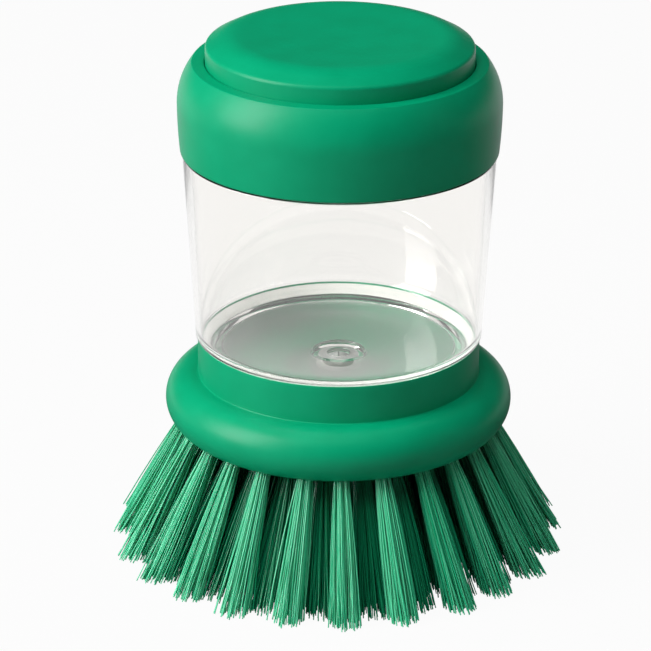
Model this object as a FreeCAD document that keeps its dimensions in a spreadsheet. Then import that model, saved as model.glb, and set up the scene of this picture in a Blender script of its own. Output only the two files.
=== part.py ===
import FreeCAD
import Part
import math
import os
import types

import Sketcher
from FreeCAD import Placement, Rotation, Vector

# Palm dish brush with a soap tank and a press button that pumps air.
# Millimetres. The brush axis is Z and the bristle tips stand on z = 0.

LENGTHS = {
    # brush base
    "bristle_height": 24.1,
    "flange_radius": 33.5,
    "bead_radius": 5.4,
    "bead_land": 3.0,
    "deck_thickness": 10.4,
    "neck_radius": 27.2,
    "neck_height": 7.8,
    "neck_wall": 2.8,
    "neck_edge_round": 0.2,
    "outlet_radius": 6.5,
    "seat_drop": 2.2,
    "seal_land": 0.6,
    "seal_pocket": 0.95,
    # bristle plate, pressed into the base from below
    "carrier_rim": 2.3,
    "carrier_thickness": 8.0,
    "carrier_fit": 0.1,
    "deck_bore_margin": 4.0,
    # bristle tufts and their anchors
    "tuft_margin": 4.5,
    "second_pitch": 4.0,
    "third_pitch": 5.0,
    "inner_pitch": 5.5,
    "tuft_radius": 1.4,
    "tuft_tip_radius": 2.8,
    "hole_depth": 7.0,
    "hole_clearance": 0.1,
    "anchor_thickness": 0.4,
    "anchor_height": 1.5,
    "anchor_clearance": 0.05,
    # soap tank
    "foot_overhang": 0.4,
    "foot_round": 0.35,
    "seam_gap": 0.3,
    "spigot_clearance": 0.2,
    "spigot_length": 6.8,
    "spigot_wall": 1.6,
    "snap_height": 0.35,
    "snap_half_width": 0.6,
    "snap_clearance": 0.1,
    "snap_rise": 1.4,
    "tank_height": 36.7,
    "tank_top_radius": 29.8,
    "tank_wall": 1.3,
    "wall_foot_rise": 1.9,
    "floor_inset": 2.8,
    "floor_rim_drop": 1.3,
    "floor_dish": 2.0,
    "floor_thickness": 1.8,
    "dimple_radius": 4.9,
    "dimple_depth": 0.4,
    "mouth_step": 0.6,
    "mouth_wall": 0.8,
    "mouth_height": 11.5,
    # outlet valve
    "valve_hole_radius": 2.2,
    "valve_clearance": 0.2,
    "valve_skin": 0.5,
    "valve_rise": 0.5,
    "valve_dome": 0.5,
    "valve_flange_radius": 3.9,
    "valve_flange_thickness": 1.0,
    "slit_length": 2.4,
    "slit_width": 0.16,
    "boss_clearance": 0.2,
    "boss_wall": 1.3,
    "boss_depth": 2.7,
    "retainer_clearance": 0.1,
    "retainer_wall": 1.5,
    "retainer_thickness": 1.4,
    # seals
    "base_seal_clearance": 0.1,
    "base_seal_height": 0.8,
    "gasket_thickness": 0.9,
    "gasket_gap": 0.05,
    "gasket_side_gap": 0.15,
    # cap
    "rim_gap": 0.3,
    "cap_overhang": 0.4,
    "cap_swell": 0.5,
    "cap_waist_height": 9.5,
    "cap_height": 17.3,
    "cap_rim_round": 0.35,
    "cap_edge_round": 0.3,
    "shoulder_setback": 2.8,
    "ledge_width": 2.4,
    "ledge_thickness": 2.3,
    "slot_clearance": 0.25,
    "thread_space": 1.0,
    "skirt_wall": 1.05,
    "skirt_recess": 0.6,
    "lip_height": 0.8,
    "lip_width": 0.55,
    # screw thread between the cap and the tank mouth
    "thread_lead": 6.0,
    "thread_ridge": 0.65,
    "thread_base": 1.2,
    "thread_crest": 0.7,
    "thread_root": 0.1,
    "thread_drop": 4.6,
    "thread_offset": 1.5,
    # pump plate
    "plate_clearance": 0.1,
    "plate_thickness": 1.4,
    "air_ring_radius": 16.0,
    "air_hole_radius": 1.6,
    # press button and its seal
    "button_gap": 0.3,
    "button_side": 3.2,
    "button_crown": 2.15,
    "button_dish": 0.45,
    "button_band": 3.9,
    "button_edge_round": 0.6,
    "button_crease_round": 3.0,
    "button_top": 2.2,
    "button_skirt": 1.8,
    "stop_gap": 0.3,
    "flange_clearance": 0.25,
    "flange_height": 2.0,
    "groove_height": 1.8,
    "groove_depth": 1.2,
    "foot_lip_height": 1.0,
    "foot_lip_setback": 0.2,
    "seal_fit": 0.05,
    "seal_clearance": 0.1,
    "seal_bevel": 0.3,
    # return spring
    "spring_radius": 9.0,
    "wire_radius": 0.5,
    "spring_seat_gap": 0.05,
    "post_clearance": 0.5,
    "post_wall": 1.4,
    "post_height": 2.5,
    # how far a cutting solid runs past what it cuts
    "overrun": 3.0,
}

ANGLES = {
    "outer_lean": 26.5,
    "second_lean": 25.0,
    "third_lean": 18.0,
    "inner_lean": 10.0,
    "outer_turn": 2.1,
    "second_turn": 9.6,
    "third_turn": 2.1,
    "inner_turn": 12.1,
}

COUNTS = {
    "outer_tufts": 24,
    "second_tufts": 24,
    "third_tufts": 18,
    "inner_tufts": 12,
    "air_holes": 6,
    "thread_turns": 0.55,
    "spring_turns": 6,
}

NEAR_SHARE = 0.01
FULL_TURN = 360
HALF_TURN = 180
QUARTER_TURN = 90
LEFT = 1
RIGHT = -1


class Size:
    """A length, angle or count: its value and the sheet expression that gives it."""

    def __init__(self, value, text):
        self.value = value
        self.text = text

    def __add__(self, other):
        return Size(self.value + other.value, f"({self.text} + {other.text})")

    def __sub__(self, other):
        return Size(self.value - other.value, f"({self.text} - {other.text})")

    def __mul__(self, other):
        return Size(self.value * other.value, f"({self.text} * {other.text})")

    def __truediv__(self, other):
        return Size(self.value / other.value, f"({self.text} / {other.text})")


def cosine(angle):
    return Size(math.cos(math.radians(angle.value)), f"cos({angle.text} * 1 deg)")


def make_sheet(doc):
    """Put every driving size in the sheet and give them back by name."""
    sheet = doc.addObject("Spreadsheet::Sheet", "sizes")
    named = {}
    for row, (name, value) in enumerate({**LENGTHS, **ANGLES, **COUNTS}.items(), start=1):
        sheet.set(f"A{row}", name)
        sheet.set(f"B{row}", str(value))
        sheet.setAlias(f"B{row}", name)
        named[name] = Size(value, f"sizes.{name}")
    doc.recompute()
    return types.SimpleNamespace(**named)


doc = FreeCAD.newDocument("palm_brush")
d = make_sheet(doc)
AXIS = Size(0, "0")
TWO = Size(2, "2")
nodes = []

# Heights, from the bristle tips upwards.
face = d.bristle_height
bead_mid = face + d.bead_radius
bead_top = bead_mid + d.bead_radius
deck_top = face + d.deck_thickness
neck_top = bead_top + d.neck_height
tank_foot = neck_top + d.seam_gap
seat_foot = tank_foot - d.seat_drop
spigot_end = tank_foot - d.spigot_length
snap_mid = spigot_end + d.snap_rise
wall_foot = tank_foot + d.wall_foot_rise
floor_rim = tank_foot - d.floor_rim_drop
floor_low = floor_rim - d.floor_dish
dimple_floor = floor_low - d.dimple_depth
valve_seat = floor_low - d.floor_thickness
boss_end = valve_seat - d.boss_depth
tank_shoulder = tank_foot + d.tank_height
mouth_rim = tank_shoulder + d.mouth_height
gasket_foot = mouth_rim + d.gasket_gap
gasket_top = gasket_foot + d.gasket_thickness
slot_top = gasket_top + d.gasket_gap
cap_rim = tank_shoulder + d.rim_gap
cap_waist = cap_rim + d.cap_waist_height
ledge = cap_rim + d.cap_height
ceiling = ledge - d.ledge_thickness
skirt_foot = cap_rim + d.skirt_recess
plate_foot = skirt_foot + d.lip_height
plate_top = plate_foot + d.plate_thickness
flange_top = ceiling - d.stop_gap
flange_foot = flange_top - d.flange_height
groove_foot = flange_foot - d.groove_height
button_foot = groove_foot - d.foot_lip_height
button_edge = ledge + d.button_side
button_crease = button_edge + d.button_crown
button_middle = button_crease - d.button_dish
button_ceiling = button_middle - d.button_top

# Radii, from the neck and the tank's top edge inwards and outwards.
bead_centre = d.flange_radius - d.bead_radius
carrier_radius = d.flange_radius - d.carrier_rim
deck_bore = d.outlet_radius + d.deck_bore_margin
pocket_radius = d.neck_radius - d.seal_land
socket_bore = d.neck_radius - d.neck_wall
spigot_radius = socket_bore - d.spigot_clearance
spigot_bore = spigot_radius - d.spigot_wall
tank_foot_radius = d.neck_radius + d.foot_overhang
wall_foot_radius = tank_foot_radius - d.tank_wall
floor_radius = wall_foot_radius - d.floor_inset
boss_bore = d.valve_flange_radius + d.boss_clearance
boss_radius = boss_bore + d.boss_wall
mouth_radius = d.tank_top_radius - d.mouth_step
mouth_bore = mouth_radius - d.mouth_wall
cap_rim_radius = d.tank_top_radius + d.cap_overhang
cap_waist_radius = cap_rim_radius + d.cap_swell
ledge_radius = cap_waist_radius - d.shoulder_setback
button_opening = ledge_radius - d.ledge_width
button_radius = button_opening - d.button_gap
slot_radius = mouth_radius + d.slot_clearance
skirt_radius = mouth_bore - d.thread_space
pump_bore = skirt_radius - d.skirt_wall
post_radius = d.spring_radius - d.wire_radius - d.post_clearance
post_bore = post_radius - d.post_wall

# The cone that the tank sits on, as a rise for each step outwards.
seat_slope = d.seat_drop / (tank_foot_radius - spigot_radius)


def seat_height(radius):
    return neck_top - (d.neck_radius - radius) * seat_slope


def pocket_height(radius):
    return seat_height(radius) - d.seal_pocket


def origin_plane(body, role):
    return next(plane for plane in body.Origin.OriginFeatures if plane.Role == role)


def new_sketch(body, name, role):
    sketch = body.newObject("Sketcher::SketchObject", name)
    sketch.AttachmentSupport = [(origin_plane(body, role), "")]
    sketch.MapMode = "FlatFace"
    return sketch


def fix_point(sketch, name, geometry, point, across, up):
    """Hold a point of a sketch at its two sizes from the sketch's origin."""
    for direction, axis, size in (("DistanceX", -2, across), ("DistanceY", -1, up)):
        if size is None:
            continue
        if size is AXIS:
            sketch.addConstraint(Sketcher.Constraint("PointOnObject", geometry, point, axis))
            continue
        index = sketch.addConstraint(Sketcher.Constraint(direction, -1, 1, geometry, point, size.value))
        label = f"{name}_{direction[-1]}"
        sketch.renameConstraint(index, label)
        sketch.setExpression(f"Constraints.{label}", size.text)


def arc_centre(start, end, across, up):
    """The centre, level with one given size, that is as far from both ends."""
    run = end.x - start.x
    rise = end.y - start.y
    middle = (start + end) / 2
    if across is not None:
        return Vector(across.value, middle.y - run * (across.value - middle.x) / rise, 0)
    return Vector(middle.x - rise * (up.value - middle.y) / run, up.value, 0)


class Arc:
    """A round stretch to the next corner, with one size of its centre and the side it lies on."""

    def __init__(self, side, across=None, up=None):
        self.side = side
        self.across = across
        self.up = up

    def geometry(self, start, end):
        centre = arc_centre(start, end, self.across, self.up)
        first, last = (start, end) if self.side == LEFT else (end, start)
        first_angle = math.atan2(first.y - centre.y, first.x - centre.x)
        last_angle = math.atan2(last.y - centre.y, last.x - centre.x)
        circle = Part.Circle(centre, Vector(0, 0, 1), (start - centre).Length)
        return Part.ArcOfCircle(circle, first_angle, last_angle)


def outline(body, name, corners, turned=0):
    """A closed outline beside the axis. A corner is (radius, height) or (radius, height, Arc)."""
    sketch = new_sketch(body, name, "XZ_Plane")
    sketch.AttachmentOffset = Placement(Vector(), Rotation(Vector(0, 1, 0), turned))
    points = [Vector(corner[0].value, corner[1].value, 0) for corner in corners]
    arcs = [corner[2] if len(corner) > 2 else None for corner in corners]
    starts = []
    ends = []
    for index, arc in enumerate(arcs):
        start = points[index]
        end = points[(index + 1) % len(points)]
        shape = arc.geometry(start, end) if arc else Part.LineSegment(start, end)
        sketch.addGeometry(shape, False)
        first, last = (2, 1) if arc and arc.side == RIGHT else (1, 2)
        starts.append(first)
        ends.append(last)
    for index, last in enumerate(ends):
        after = (index + 1) % len(starts)
        sketch.addConstraint(Sketcher.Constraint("Coincident", index, last, after, starts[after]))
    for index, corner in enumerate(corners):
        fix_point(sketch, f"corner_{index}", index, starts[index], corner[0], corner[1])
        if arcs[index]:
            fix_point(sketch, f"centre_{index}", index, 3, arcs[index].across, arcs[index].up)
    return sketch


def new_body(name):
    body = doc.addObject("PartDesign::Body", name)
    body.Label = name
    return body


def turn_outline(body, name, corners):
    """Add what an outline makes when it is turned about the brush axis."""
    sketch = outline(body, f"{name}_outline", corners)
    turning = body.newObject("PartDesign::Revolution", f"{name}_turning")
    turning.Profile = sketch
    turning.ReferenceAxis = (sketch, ["V_Axis"])
    turning.Angle = FULL_TURN
    doc.recompute()


def turned_body(name, corners):
    """A body turned about the brush axis from its outline."""
    body = new_body(name)
    turn_outline(body, name, corners)
    return body


def round_edge(body, name, radius, height, rounding):
    """Round the circular edge that a corner of the outline made."""
    solid = body.Tip
    near = rounding.value * NEAR_SHARE
    names = []
    for index, edge in enumerate(body.Shape.Edges, start=1):
        box = edge.BoundBox
        level = abs(box.ZMin - height.value) < near and abs(box.ZMax - height.value) < near
        if level and abs(edge.Curve.Radius - radius.value) < near:
            names.append(f"Edge{index}")
    fillet = body.newObject("PartDesign::Fillet", name)
    fillet.Base = (solid, names)
    fillet.setExpression("Radius", rounding.text)
    body.Tip = fillet
    doc.recompute()


def screw_ridge(body, name, base_radius, crest_radius, height, turned):
    """One start of a screw thread: a ridge of tapered section on its helix."""
    half_base = d.thread_base / TWO
    half_crest = d.thread_crest / TWO
    corners = [
        (base_radius, height - half_base),
        (crest_radius, height - half_crest),
        (crest_radius, height + half_crest),
        (base_radius, height + half_base),
    ]
    sketch = outline(body, f"{name}_section", corners, turned)
    ridge = body.newObject("PartDesign::AdditiveHelix", name)
    ridge.Profile = sketch
    ridge.ReferenceAxis = (sketch, ["V_Axis"])
    ridge.Mode = "pitch-turns-angle"
    ridge.setExpression("Pitch", d.thread_lead.text)
    ridge.setExpression("Turns", d.thread_turns.text)
    doc.recompute()


def add_node(thing, name):
    thing.Label = name
    nodes.append(thing)
    return thing


def make_container():
    """Clear tank: spigot and outlet boss below, dished floor, tapered wall, screw mouth above."""
    body = turned_body("container", [
        (d.valve_hole_radius, valve_seat),
        (boss_bore, valve_seat),
        (boss_bore, boss_end),
        (boss_radius, boss_end),
        (boss_radius, valve_seat),
        (spigot_bore, floor_rim - d.floor_thickness),
        (spigot_bore, spigot_end),
        (spigot_radius, spigot_end),
        (spigot_radius, snap_mid - d.snap_half_width),
        (spigot_radius + d.snap_height, snap_mid),
        (spigot_radius, snap_mid + d.snap_half_width),
        (spigot_radius, seat_foot),
        (tank_foot_radius, tank_foot),
        (d.tank_top_radius, tank_shoulder),
        (mouth_radius, tank_shoulder),
        (mouth_radius, mouth_rim),
        (mouth_bore, mouth_rim),
        (mouth_bore, tank_shoulder),
        (wall_foot_radius, wall_foot, Arc(RIGHT, up=wall_foot)),
        (floor_radius, floor_rim),
        (d.dimple_radius, floor_low),
        (d.dimple_radius, dimple_floor),
        (d.valve_hole_radius, dimple_floor),
    ])
    round_edge(body, "container_foot_round", tank_foot_radius, tank_foot, d.foot_round)
    height = mouth_rim - d.thread_drop
    root = mouth_bore + d.thread_root
    crest = mouth_bore - d.thread_ridge
    screw_ridge(body, "mouth_thread_a", root, crest, height, 0)
    screw_ridge(body, "mouth_thread_b", root, crest, height, HALF_TURN)
    return add_node(body, "container")


def make_cap():
    """Screw cap: outer skirt, ledge round the button, and an inner skirt that is the pump cylinder."""
    lip_bore = pump_bore - d.lip_width
    body = turned_body("cap", [
        (slot_radius, cap_rim),
        (cap_rim_radius, cap_rim),
        (cap_waist_radius, cap_waist, Arc(LEFT, up=cap_waist)),
        (ledge_radius, ledge),
        (button_opening, ledge),
        (button_opening, ceiling),
        (pump_bore, ceiling),
        (pump_bore, plate_foot),
        (lip_bore, plate_foot),
        (lip_bore, skirt_foot),
        (skirt_radius, skirt_foot),
        (skirt_radius, slot_top),
        (slot_radius, slot_top),
    ])
    round_edge(body, "cap_rim_round", cap_rim_radius, cap_rim, d.cap_rim_round)
    round_edge(body, "cap_edge_round", ledge_radius, ledge, d.cap_edge_round)
    height = mouth_rim - d.thread_drop - d.thread_offset
    root = skirt_radius - d.thread_root
    crest = skirt_radius + d.thread_ridge
    screw_ridge(body, "cap_thread_a", root, crest, height, 0)
    screw_ridge(body, "cap_thread_b", root, crest, height, HALF_TURN)
    return add_node(body, "cap")


def make_button():
    """Press button: dished top, sloping band, skirt, stop flange, seal groove and spring post."""
    flange_radius = pump_bore - d.flange_clearance
    groove_radius = flange_radius - d.groove_depth
    lip_radius = flange_radius - d.foot_lip_setback
    skirt_bore = button_radius - d.button_skirt
    crease_radius = button_radius - d.button_band
    post_end = button_ceiling - d.post_height
    body = turned_body("press_button", [
        (AXIS, button_middle, Arc(LEFT, across=AXIS)),
        (crease_radius, button_crease),
        (button_radius, button_edge),
        (button_radius, flange_top),
        (flange_radius, flange_top),
        (flange_radius, flange_foot),
        (groove_radius, flange_foot),
        (groove_radius, groove_foot),
        (lip_radius, groove_foot),
        (lip_radius, button_foot),
        (skirt_bore, button_foot),
        (skirt_bore, button_ceiling),
        (post_radius, button_ceiling),
        (post_radius, post_end),
        (post_bore, post_end),
        (post_bore, button_ceiling),
        (AXIS, button_ceiling),
    ])
    round_edge(body, "button_edge_round", button_radius, button_edge, d.button_edge_round)
    round_edge(body, "button_crease_round", crease_radius, button_crease, d.button_crease_round)
    return add_node(body, "press_button")


def make_piston_seal():
    """Soft ring in the button's groove, bevelled where it wipes the pump cylinder."""
    groove_radius = pump_bore - d.flange_clearance - d.groove_depth
    inner = groove_radius + d.seal_clearance
    outer = pump_bore - d.seal_fit
    low = groove_foot + d.seal_clearance
    high = flange_foot - d.seal_clearance
    return add_node(turned_body("piston_seal", [
        (inner, low),
        (outer - d.seal_bevel, low),
        (outer, low + d.seal_bevel),
        (outer, high - d.seal_bevel),
        (outer - d.seal_bevel, high),
        (inner, high),
    ]), "piston_seal")


def make_pump_plate():
    """Plate under the pump, with air holes and a post that centres the spring."""
    plate_radius = pump_bore - d.plate_clearance
    post_end = plate_top + d.post_height
    body = turned_body("pump_plate", [
        (AXIS, plate_foot),
        (plate_radius, plate_foot),
        (plate_radius, plate_top),
        (post_radius, plate_top),
        (post_radius, post_end),
        (post_bore, post_end),
        (post_bore, plate_top),
        (AXIS, plate_top),
    ])
    sketch = new_sketch(body, "air_hole_outline", "XY_Plane")
    middle = Vector(d.air_ring_radius.value, 0, 0)
    sketch.addGeometry(Part.Circle(middle, Vector(0, 0, 1), d.air_hole_radius.value), False)
    fix_point(sketch, "air_hole", 0, 3, d.air_ring_radius, AXIS)
    index = sketch.addConstraint(Sketcher.Constraint("Radius", 0, d.air_hole_radius.value))
    sketch.renameConstraint(index, "hole_radius")
    sketch.setExpression("Constraints.hole_radius", d.air_hole_radius.text)
    hole = body.newObject("PartDesign::Pocket", "air_hole")
    hole.Profile = sketch
    hole.Type = "ThroughAll"
    hole.Reversed = True
    doc.recompute()
    ring = body.newObject("PartDesign::PolarPattern", "air_hole_ring")
    ring.Originals = [hole]
    ring.Axis = (sketch, ["N_Axis"])
    ring.Angle = FULL_TURN
    ring.setExpression("Occurrences", d.air_holes.text)
    body.Tip = ring
    doc.recompute()
    return add_node(body, "pump_plate")


def make_valve():
    """Silicone outlet valve: a flange clamped under the tank floor and a dome slit crosswise."""
    dome_radius = d.valve_hole_radius - d.valve_clearance
    hollow_radius = dome_radius - d.valve_skin
    dome_foot = valve_seat + d.valve_rise
    dome_top = dome_foot + d.valve_dome
    flange_foot_height = valve_seat - d.valve_flange_thickness
    body = turned_body("outlet_valve", [
        (hollow_radius, flange_foot_height),
        (d.valve_flange_radius, flange_foot_height),
        (d.valve_flange_radius, valve_seat),
        (dome_radius, valve_seat),
        (dome_radius, dome_foot, Arc(LEFT, across=AXIS)),
        (AXIS, dome_top),
        (AXIS, dome_top - d.valve_skin),
        (hollow_radius, valve_seat),
    ])
    sketch = new_sketch(body, "slit_outline", "XY_Plane")
    half_length = d.slit_length.value / 2
    half_width = d.slit_width.value / 2
    corners = [(-half_length, -half_width), (half_length, -half_width),
               (half_length, half_width), (-half_length, half_width)]
    for index, corner in enumerate(corners):
        after = corners[(index + 1) % len(corners)]
        sketch.addGeometry(Part.LineSegment(Vector(*corner, 0), Vector(*after, 0)), False)
    for index in range(len(corners)):
        after = (index + 1) % len(corners)
        sketch.addConstraint(Sketcher.Constraint("Coincident", index, 2, after, 1))
        side = "Vertical" if index % 2 else "Horizontal"
        sketch.addConstraint(Sketcher.Constraint(side, index))
    sketch.addConstraint(Sketcher.Constraint("Symmetric", 0, 1, 2, 1, -1, 1))
    for name, edge, size in (("slit_run", 0, d.slit_length), ("slit_gap", 1, d.slit_width)):
        index = sketch.addConstraint(Sketcher.Constraint("Distance", edge, size.value))
        sketch.renameConstraint(index, name)
        sketch.setExpression(f"Constraints.{name}", size.text)
    slit = body.newObject("PartDesign::Pocket", "slit")
    slit.Profile = sketch
    slit.Type = "ThroughAll"
    slit.Reversed = True
    doc.recompute()
    cross = body.newObject("PartDesign::PolarPattern", "slit_cross")
    cross.Originals = [slit]
    cross.Axis = (sketch, ["N_Axis"])
    cross.Angle = QUARTER_TURN
    cross.Occurrences = 2
    body.Tip = cross
    doc.recompute()
    return add_node(body, "outlet_valve")


def make_ring(name, inner, outer, low, high):
    return add_node(turned_body(name, [(inner, low), (outer, low), (outer, high), (inner, high)]), name)


def make_rings():
    """The valve's retaining ring and the gasket on the mouth rim."""
    retainer_radius = boss_bore - d.retainer_clearance
    retainer_top = valve_seat - d.valve_flange_thickness
    make_ring("valve_retainer", retainer_radius - d.retainer_wall, retainer_radius,
              retainer_top - d.retainer_thickness, retainer_top)
    make_ring("rim_gasket", skirt_radius + d.gasket_side_gap, slot_radius - d.gasket_side_gap,
              gasket_foot, gasket_top)


def make_base_seal():
    """Soft ring in the pocket of the neck's cone, under the tank's cone."""
    inner = socket_bore + d.base_seal_clearance
    outer = pocket_radius - d.base_seal_clearance
    return add_node(turned_body("base_seal", [
        (inner, pocket_height(inner)),
        (outer, pocket_height(outer)),
        (outer, pocket_height(outer) + d.base_seal_height),
        (inner, pocket_height(inner) + d.base_seal_height),
    ]), "base_seal")


def biarc(start, start_way, end, end_way):
    """Two arcs that leave one point and reach the next along the given ways."""
    span = end - start
    sum_way = start_way + end_way
    square = 2 * (1 - start_way.dot(end_way))
    reach = span.dot(sum_way)
    length = (math.sqrt(reach * reach + span.dot(span) * square) - reach) / square
    meeting = (start + end + (start_way - end_way) * length) / 2
    edges = []
    for first, last, corner in ((start, meeting, start + start_way * length),
                                (meeting, end, end - end_way * length)):
        chord_middle = (first + last) / 2
        half = (last - first).Length / 2
        depth = (corner - chord_middle).Length
        sagitta = half * (math.hypot(half, depth) - half) / depth
        top = chord_middle + (corner - chord_middle).normalize() * sagitta
        edges.append(Part.Arc(first, top, last).toShape())
    return edges


def make_spring():
    """Return spring: one wire wound from the plate to the button, in quarter turns."""
    radius = d.spring_radius.value
    wire = d.wire_radius.value
    foot = plate_top.value + d.spring_seat_gap.value + wire
    top = button_ceiling.value - d.spring_seat_gap.value - wire
    quarters = int(d.spring_turns.value * 4)
    climb = (top - foot) / (quarters * math.pi / 2)

    def place(quarter):
        angle = quarter * math.pi / 2
        return Vector(radius * math.cos(angle), radius * math.sin(angle), foot + climb * angle)

    def way(quarter):
        angle = quarter * math.pi / 2
        return Vector(-radius * math.sin(angle), radius * math.cos(angle), climb).normalize()

    edges = []
    for quarter in range(quarters):
        edges += biarc(place(quarter), way(quarter), place(quarter + 1), way(quarter + 1))
    path = Part.Wire(edges)
    section = Part.Wire(Part.Circle(place(0), way(0), wire).toShape())
    shape = path.makePipeShell([section], True, False)
    spring = doc.addObject("Part::Feature", "return_spring")
    spring.Shape = shape
    pitch = climb * 2 * math.pi
    print(f"return_spring gap between turns {pitch * math.cos(math.atan(climb / radius)) - 2 * wire:.2f} mm")
    return add_node(spring, "return_spring")


def make_base_blank():
    """Brush block with a round bead, a neck with a cone seat that takes the tank's spigot, and the outlet bore."""
    groove_radius = socket_bore + d.snap_height + d.snap_clearance
    groove_half = d.snap_half_width + d.snap_clearance
    bead_land = bead_centre - d.bead_land
    body = turned_body("brush_base_blank", [
        (d.outlet_radius, face),
        (bead_centre, face, Arc(LEFT, across=bead_centre)),
        (bead_centre, bead_top),
        (bead_land, bead_top),
        (bead_land, deck_top),
        (d.outlet_radius, deck_top),
    ])
    turn_outline(body, "neck", [
        (socket_bore, bead_mid),
        (d.neck_radius, bead_mid),
        (d.neck_radius, neck_top),
        (pocket_radius, seat_height(pocket_radius)),
        (pocket_radius, pocket_height(pocket_radius)),
        (socket_bore, pocket_height(socket_bore)),
        (socket_bore, snap_mid + groove_half),
        (groove_radius, snap_mid),
        (socket_bore, snap_mid - groove_half),
    ])
    round_edge(body, "neck_edge_round", d.neck_radius, neck_top, d.neck_edge_round)
    return body


def face_cylinder(name, radius, height):
    """A cylinder on the brush axis, from below the bristle face to a height above it."""
    solid = doc.addObject("Part::Cylinder", name)
    bind(solid, Radius=radius, Height=height + d.overrun)
    solid.Placement.Base = Vector(0, 0, face.value - d.overrun.value)
    return solid


def bind(thing, **sizes):
    for name, size in sizes.items():
        thing.setExpression(name, size.text)


def along_tuft(radius, lean, distance):
    """A place on a tuft's line, measured from where it leaves the face, turned down the tuft."""
    turn = Rotation(Vector(0, 1, 0), HALF_TURN - lean.value)
    origin = Vector(radius.value, 0, face.value)
    return Placement(origin + turn.multVec(Vector(0, 0, distance)), turn)


def ring_copies(thing, count, turn, name):
    """Copies of a thing, evenly spaced round the brush axis, each an object of its own."""
    copies = []
    for index in range(count):
        copy = doc.addObject("Part::Compound", f"{name}_{index + 1:02d}")
        copy.Links = [thing]
        angle = turn.value + FULL_TURN * index / count
        copy.Placement = Placement(Vector(), Rotation(Vector(0, 0, 1), angle))
        copies.append(copy)
    return copies


def group(things, name):
    ring = doc.addObject("Part::Compound", name)
    ring.Links = things
    return ring


def make_tuft(name, radius, lean, below):
    """One tuft, its anchor and its hole: a straight root, a flared bundle trimmed level at the tips."""
    depth = d.hole_depth.value
    run = face / cosine(lean)
    length = run + d.overrun
    flare = d.tuft_radius + (d.tuft_tip_radius - d.tuft_radius) * length / run
    bundle = doc.addObject("Part::Cone", f"{name}_bundle")
    bind(bundle, Radius1=d.tuft_radius, Radius2=flare, Height=length)
    bundle.Placement = along_tuft(radius, lean, 0)
    root = doc.addObject("Part::Cylinder", f"{name}_root")
    bind(root, Radius=d.tuft_radius, Height=d.hole_depth)
    root.Placement = along_tuft(radius, lean, -depth)
    whole = doc.addObject("Part::Fuse", f"{name}_whole")
    whole.Base = bundle
    whole.Tool = root
    whole.Refine = True
    slot_side = (d.hole_clearance + d.tuft_radius) * TWO
    slot_width = d.anchor_thickness + d.anchor_clearance * TWO
    slot = doc.addObject("Part::Box", f"{name}_slot")
    bind(slot, Length=slot_width, Width=slot_side, Height=d.anchor_height + d.anchor_clearance)
    slot.Placement = centred_box(radius, lean, -depth, slot_width, slot_side)
    trimmed = doc.addObject("Part::Cut", f"{name}_trimmed")
    trimmed.Base = whole
    trimmed.Tool = group([below, slot], f"{name}_trimmings")
    anchor_side = slot_side - d.anchor_clearance * TWO
    anchor = doc.addObject("Part::Box", f"{name}_anchor")
    bind(anchor, Length=d.anchor_thickness, Width=anchor_side, Height=d.anchor_height)
    anchor.Placement = centred_box(radius, lean, -depth, d.anchor_thickness, anchor_side)
    hole = doc.addObject("Part::Cylinder", f"{name}_hole")
    bind(hole, Radius=d.tuft_radius + d.hole_clearance, Height=d.hole_depth + d.overrun)
    hole.Placement = along_tuft(radius, lean, -depth)
    return trimmed, anchor, hole


def centred_box(radius, lean, distance, length, width):
    """Where a box starts so that it is centred on a tuft's line."""
    place = along_tuft(radius, lean, distance)
    shift = place.Rotation.multVec(Vector(-length.value / 2, -width.value / 2, 0))
    return Placement(place.Base + shift, place.Rotation)


def make_brush():
    """The brush base, the plate with its tuft holes, and the four rings of tufts with their anchors."""
    outer = d.flange_radius - d.tuft_margin
    second = outer - d.second_pitch
    third = second - d.third_pitch
    inner = third - d.inner_pitch
    rings = [
        ("outer", outer, d.outer_lean, d.outer_tufts, d.outer_turn),
        ("second", second, d.second_lean, d.second_tufts, d.second_turn),
        ("third", third, d.third_lean, d.third_tufts, d.third_turn),
        ("inner", inner, d.inner_lean, d.inner_tufts, d.inner_turn),
    ]
    below_side = (d.flange_radius + d.bristle_height) * TWO
    below = doc.addObject("Part::Box", "below_tips")
    bind(below, Length=below_side, Width=below_side, Height=d.bristle_height)
    below.Placement.Base = Vector(-below_side.value / 2, -below_side.value / 2, -face.value)
    holes = []
    for name, radius, lean, count, turn in rings:
        tuft, anchor, hole = make_tuft(name, radius, lean, below)
        number = int(count.value)
        tufts = ring_copies(tuft, number, turn, f"{name}_tuft")
        if name == "outer":
            for index, copy in enumerate(tufts, start=1):
                add_node(copy, f"outer_tuft_{index:02d}")
        else:
            add_node(group(tufts, f"{name}_tufts"), f"{name}_tufts")
        anchors = ring_copies(anchor, number, turn, f"{name}_anchor_copy")
        add_node(group(anchors, f"{name}_anchors"), f"{name}_anchors")
        holes += ring_copies(hole, number, turn, f"{name}_hole_copy")
    blank = make_base_blank()
    space = doc.addObject("Part::MultiFuse", "base_space")
    space.Shapes = [
        face_cylinder("carrier_space", carrier_radius + d.carrier_fit, d.carrier_thickness),
        face_cylinder("deck_space", deck_bore, d.deck_thickness + d.overrun),
    ]
    base = doc.addObject("Part::Cut", "brush_base")
    base.Base = blank
    base.Tool = space
    add_node(base, "brush_base")
    disc = doc.addObject("Part::Common", "bristle_disc")
    disc.Base = blank
    disc.Tool = face_cylinder("carrier_disc", carrier_radius, d.carrier_thickness)
    plate = doc.addObject("Part::Cut", "bristle_plate")
    plate.Base = disc
    plate.Tool = group(holes, "tuft_holes")
    add_node(plate, "bristle_plate")


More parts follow.
